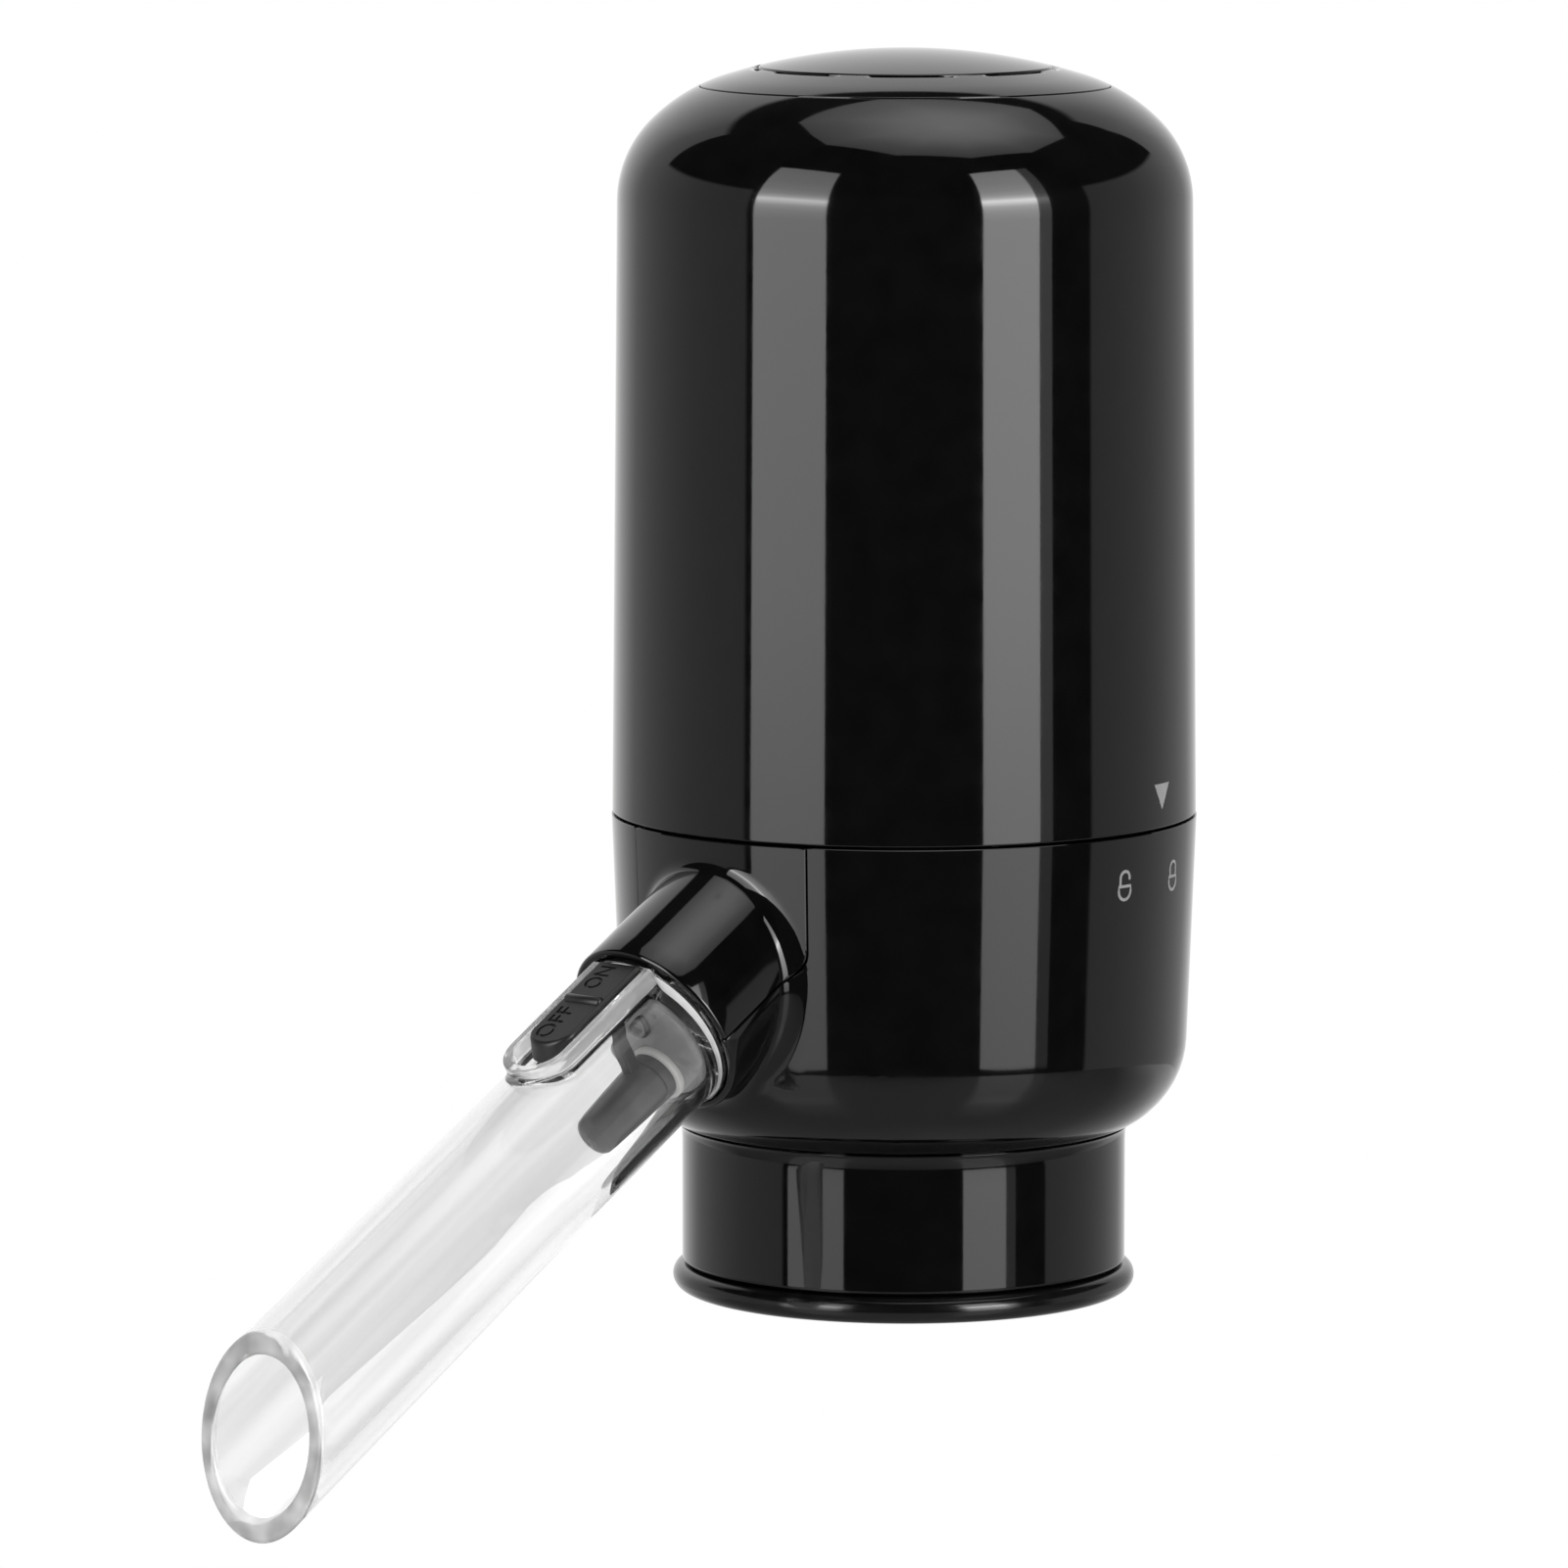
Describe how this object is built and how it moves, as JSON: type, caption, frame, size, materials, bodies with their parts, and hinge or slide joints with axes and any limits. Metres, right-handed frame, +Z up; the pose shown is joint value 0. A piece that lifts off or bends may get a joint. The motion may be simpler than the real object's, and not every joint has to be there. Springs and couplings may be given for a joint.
{
  "type": "electric wine aerator dispenser",
  "caption": "Battery wine aerator: a black pump unit with a top button twist-locks onto a pouring head with a bottle seal and a clear sloping spout with a sliding switch.",
  "frame": {"origin": "centre of the bottle bore's mouth, on the body's axis", "axes": "+Z up along the body's axis, away from the bottle; -Y towards the spout's tip"},
  "size_m": [0.072, 0.1479, 0.1691],
  "materials": {
    "gloss_black": "high-gloss moulded black",
    "satin_black": "fine satin moulded black",
    "seal_black": "satin black silicone",
    "clear_acrylic": "polished clear",
    "inner_black": "moulded black",
    "inner_rubber": "matt",
    "white_nylon": "moulded natural",
    "silicone": "translucent white",
    "steel": "zinc-plated",
    "magnet": "ferrite",
    "brass": "turned",
    "winding": "copper winding on a steel core",
    "cell_sleeve": "printed sleeve, plain",
    "board_green": "solder mask",
    "wire_red": "insulation"
  },
  "bodies": {
    "pouring_head": {"lower_shell": "gloss_black", "spout_panel": "gloss_black", "neck_collar": "gloss_black", "bottle_seal": "seal_black", "bottle_gasket": "silicone", "wine_manifold": "white_nylon", "air_check_valve": "silicone", "manifold_screws": "steel", "pour_spout": "clear_acrylic", "spout_oring": "seal_black", "spout_gasket": "silicone", "valve_seat": "clear_acrylic"},
    "power_unit": {"upper_shell": "gloss_black", "top_cap": "gloss_black", "base_plate": "inner_black", "spigot_oring": "silicone", "battery_door": "inner_black", "battery_holder": "inner_black", "battery_cell_1": "cell_sleeve", "battery_cell_2": "cell_sleeve", "battery_cell_3": "cell_sleeve", "battery_cell_4": "cell_sleeve", "lower_contacts": "steel", "upper_contacts": "steel", "motor_can": "steel", "motor_magnets": "magnet", "motor_bushing": "brass", "motor_end_cap": "white_nylon", "pump_housing": "inner_black", "pump_rocker": "white_nylon", "pump_diaphragm": "inner_rubber", "pump_valve_cap": "inner_black", "pump_cushion": "inner_rubber", "air_hose": "silicone", "board_bracket": "inner_black", "control_board": "board_green", "tact_switch": "inner_black", "lead_wires": "wire_red", "chassis_screws": "steel", "door_screws": "steel", "board_screws": "steel"},
    "rotor": {"armature": "winding", "eccentric": "white_nylon"},
    "button": {"power_button": "gloss_black", "button_spring": "steel"},
    "switch": {"switch_slider": "satin_black", "valve_plug": "seal_black"}
  },
  "joints": [
    {"name": "twist_lock", "type": "hinge", "parent": "pouring_head", "child": "power_unit", "pos_m": [0, 0, 0.0591], "axis": [0, 0, 1], "range_deg": [-12.5, 5]},
    {"name": "button_press", "type": "slide", "parent": "power_unit", "child": "button", "axis": [0, 0, -1], "range_m": [0, 0.0012], "stiffness_N_per_m": 600, "springref_m": -0.002, "deforming": ["button_spring"]},
    {"name": "switch_slide", "type": "slide", "parent": "pouring_head", "child": "switch", "axis": [0, -0.8599, -0.5105], "range_m": [0, 0.0024]},
    {"name": "rotor_spin", "type": "hinge", "parent": "power_unit", "child": "rotor", "pos_m": [0, 0, 0.1], "axis": [0, 0, 1], "continuous": true}
  ]
}
